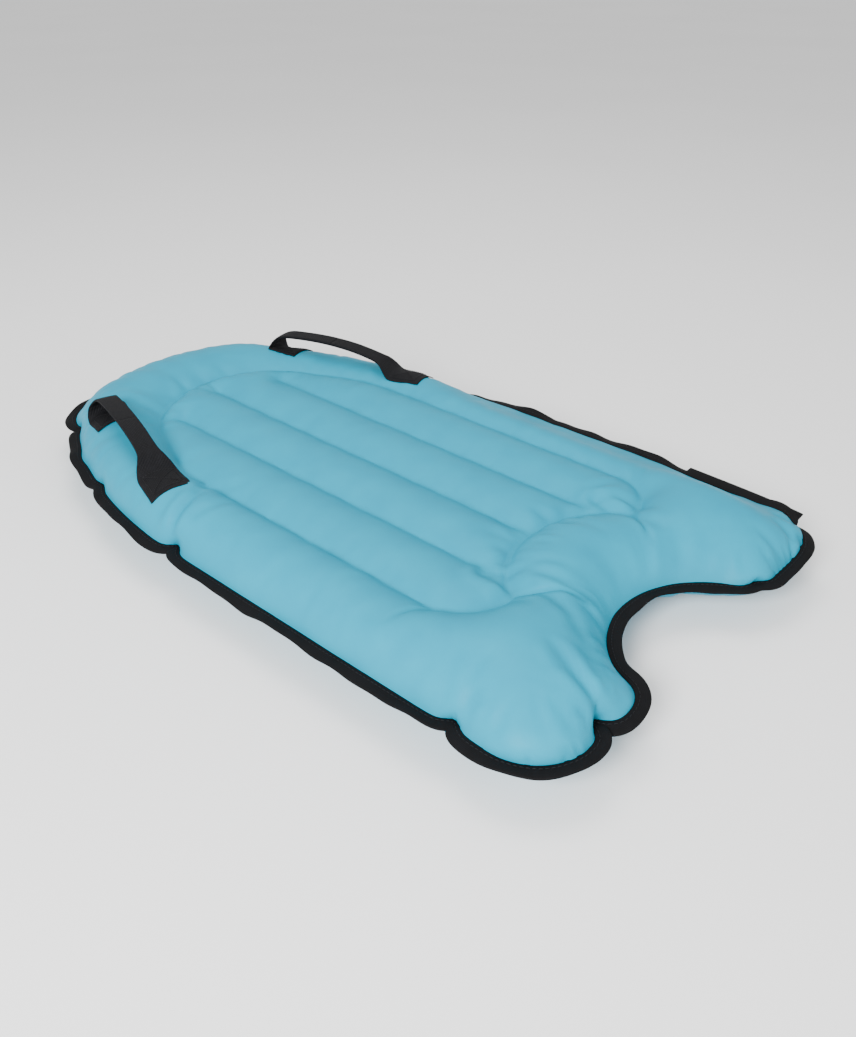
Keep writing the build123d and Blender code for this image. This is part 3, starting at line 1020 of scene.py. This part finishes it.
def strap_point(row, slope, across, through):
    """A point of the strap: across and through run from -1 to 1 over its width and its thickness."""
    u, rise, width, thick, lying = row
    normal_u, normal_z = -slope[1], slope[0]
    x = across * width / 2
    cup = (1 - lying) * 1.4 * math.sin(math.pi * min(1, max(0, (width - 25) / 25))) * (across**2 - 0.4)
    off = through * thick / 2 + cup
    plan = on_board(u + normal_u * off, x)
    flying = rise + normal_z * off
    if lying <= 0:
        return np.append(plan, flying)
    side = 1 if normal_z >= 0 else -1
    lies = skin_height(*on_board(u, x)) + thick / 2 + SKIN_GAP + side * through * thick / 2
    return np.append(plan, flying * (1 - lying) + lies * lying)


def turned_over(faces, uv):
    """The same faces with their other side out, each with its UVs turned along with it."""
    flipped, turned, at = [], [], 0
    for f in faces:
        flipped.append(tuple(f[::-1]))
        turned += uv[at:at + len(f)][::-1]
        at += len(f)
    return flipped, turned


def strap_mesh(rows, side):
    """The webbing through the given rows, closed at both ends: side is 1 on the right and -1 on the left."""
    slopes = np.gradient(rows[:, :2], axis=0)
    slopes /= np.linalg.norm(slopes, axis=1)[:, None]
    m = len(SECTION)
    points = [strap_point(row, slope, a, t) for row, slope in zip(rows, slopes) for a, t in SECTION]
    points = np.array(points)
    points[:, 0] *= side
    run = np.concatenate([[0], np.cumsum(np.linalg.norm(np.diff(rows[:, :2], axis=0), axis=1))])
    faces, uv = [], []
    n = len(rows)
    for i in range(n - 1):
        for k in range(m):
            h = (k + 1) % m
            faces.append((i * m + k, i * m + h, (i + 1) * m + h, (i + 1) * m + k))
            x0, x1 = (SECTION[corner][0] * rows[i, 2] / 2 * MM for corner in (k, h))
            uv += [(x0, run[i] * MM), (x1, run[i] * MM), (x1, run[i + 1] * MM), (x0, run[i + 1] * MM)]
    for i, ring in ((0, range(m)[::-1]), (n - 1, range(m))):
        faces.append(tuple(i * m + k for k in ring))
        uv += [(SECTION[k][0] * rows[i, 2] / 2 * MM, SECTION[k][1] * MM) for k in ring]
    if side < 0:
        faces, uv = turned_over(faces, uv)
    return points, faces, uv


# Ends of the grip's hinge line on the right side
HINGE_REAR = np.array([188.639, 178.109, 58.555])
HINGE_FRONT = np.array([152.646, 309.678, 66.329])


def webbing_handle(side, word):
    """Two halves of the strap, which rise from the board and meet at the top of its arch, and the front tab
    that stays on the board.
    """
    rows = strap_rows(STRAP)
    cut = CUT_ROW * PER_SPAN
    halves = (("rear", rows[:cut + 1], HINGE_REAR), ("front", rows[cut:][::-1], HINGE_FRONT))
    for end, part, hinge in halves:
        points, faces, uv = strap_mesh(part, side)
        if end == "front":
            faces, uv = turned_over(faces, uv)
        piece = new_piece(f"{word}_handle_{end}_webbing", place(points), faces, webbing)
        paint_uv(piece, faces, uv)
        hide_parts(f"{word}_handle_{end}_tab", f"{word}_handle_grip")
        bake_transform(piece)

    points, faces, uv = strap_mesh(strap_rows(FRONT_TAB), side)
    piece = new_piece(f"{word}_handle_front_tab_webbing", place(points), faces, webbing)
    paint_uv(piece, faces, uv)
    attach(piece, "board")
    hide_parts(f"{word}_handle_front_tab")


for side, word in ((1, "right"), (-1, "left")):
    webbing_handle(side, word)


def inner_patches():
    """Sealing patches on the inside of the top skin, under each tab."""
    half_x, half_u, cells = 26.0, 27.0, 24
    outer_depth, inner_depth = 2.0, 2.8
    points, faces = [], []
    for side in (1, -1):
        for middle in (-98.5, 98.5):
            first = len(points)
            for depth in (outer_depth, inner_depth):
                for i in range(cells + 1):
                    for k in range(cells + 1):
                        x, u = (2 * i / cells - 1) * half_x, middle + (2 * k / cells - 1) * half_u
                        plan = on_board(u, x)
                        points.append((plan[0] * side, plan[1], skin_height(*plan) - depth))
            row = cells + 1
            layer = row * row
            rim = [first + k for k in range(row)] + [first + i * row + cells for i in range(1, row)]
            rim += [first + cells * row + k for k in range(cells - 1, -1, -1)]
            rim += [first + i * row for i in range(cells - 1, 0, -1)]
            sheet = [(first + i * row + k, first + (i + 1) * row + k, first + (i + 1) * row + k + 1,
                      first + i * row + k + 1) for i in range(cells) for k in range(cells)]
            new = list(sheet)
            new += [tuple(j + layer for j in f[::-1]) for f in sheet]
            new += [(a, b, b + layer, a + layer) for a, b in zip(rim, rim[1:] + rim[:1])]
            faces += new if side > 0 else [f[::-1] for f in new]
    return np.array(points), faces


points, faces = inner_patches()
patches = new_piece("handle_patches", place(points), faces, baffle_cloth)
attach(patches, "board")
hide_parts("handle_backing_patches")


def tab_stitches():
    """A square and a cross of thread on each tab."""
    starts, ends, ups = [], [], []
    half, pitch = 19.0, 3.4
    corners = [(-half, -half), (half, -half), (half, half), (-half, half)]
    lines = [(corners[i], corners[(i + 1) % 4]) for i in range(4)]
    lines += [(corners[0], corners[2]), (corners[1], corners[3])]
    for middle in (-98.5, 97.5):
        for (x0, u0), (x1, u1) in lines:
            count = int(math.hypot(x1 - x0, u1 - u0) / pitch)
            for k in range(count):
                for t, found in (((k + 0.12) / count, starts), ((k + 0.88) / count, ends)):
                    x, u = x0 + (x1 - x0) * t, middle + u0 + (u1 - u0) * t
                    plan = on_board(u, x)
                    found.append(np.append(plan, skin_height(*plan) + WEBBING + SKIN_GAP + 0.15))
                ups.append(np.array([0, 0, 1.0]))
    return thread_run(np.array(starts), np.array(ends), np.array(ups), 0.4)


points, faces = tab_stitches()
both = np.concatenate([points, points * np.array([-1, 1, 1])])
mirrored = [tuple(len(points) + i for i in f[::-1]) for f in faces]
handle_thread = new_piece("handle_stitches", place(both), faces + mirrored, thread)
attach(handle_thread, "board")
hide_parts("handle_stitching")


# ---------------------------------------------------------------- studio


def area_light(name, where, aim, size, power, colour=(1, 1, 1)):
    data = bpy.data.lights.new(name, "AREA")
    data.shape = "DISK"
    data.size = size
    data.energy = power
    data.color = colour
    lamp = bpy.data.objects.new(name, data)
    lamp.location = where
    lamp.rotation_euler = (Vector(aim) - Vector(where)).to_track_quat("-Z", "Y").to_euler()
    bpy.context.scene.collection.objects.link(lamp)


def studio():
    floor_material, tree, shader = node_material("floor", 0.9)
    tint = noise(tree, coordinates(tree), 1.5, 1)
    colour = ramp(tree, tint, [(0.3, (0.86, 0.86, 0.86)), (0.7, (0.88, 0.88, 0.88))])
    tree.links.new(colour, shader.inputs["Base Color"])
    half = 40
    corners = [(-half, -half, 0), (half, -half, 0), (half, half, 0), (-half, half, 0)]
    mesh = bpy.data.meshes.new("floor")
    mesh.from_pydata(corners, [], [(0, 1, 2, 3)])
    mesh.materials.append(floor_material)
    floor = bpy.data.objects.new("floor", mesh)
    bpy.context.scene.collection.objects.link(floor)
    world = bpy.data.worlds.new("studio")
    world.use_nodes = True
    sky = world.node_tree.nodes["Background"]
    sky.inputs["Color"].default_value = (1, 1, 1, 1)
    sky.inputs["Strength"].default_value = 0.95
    bpy.context.scene.world = world
    area_light("key", (-1.9, -0.8, 1.3), (0, 0, 0.03), 0.9, 90)
    area_light("fill", (-0.4, -2.2, 0.9), (0, -0.1, 0.03), 1.2, 14)
    area_light("top", (0.3, 0.4, 2.2), (0, 0, 0), 1.4, 22)


studio()
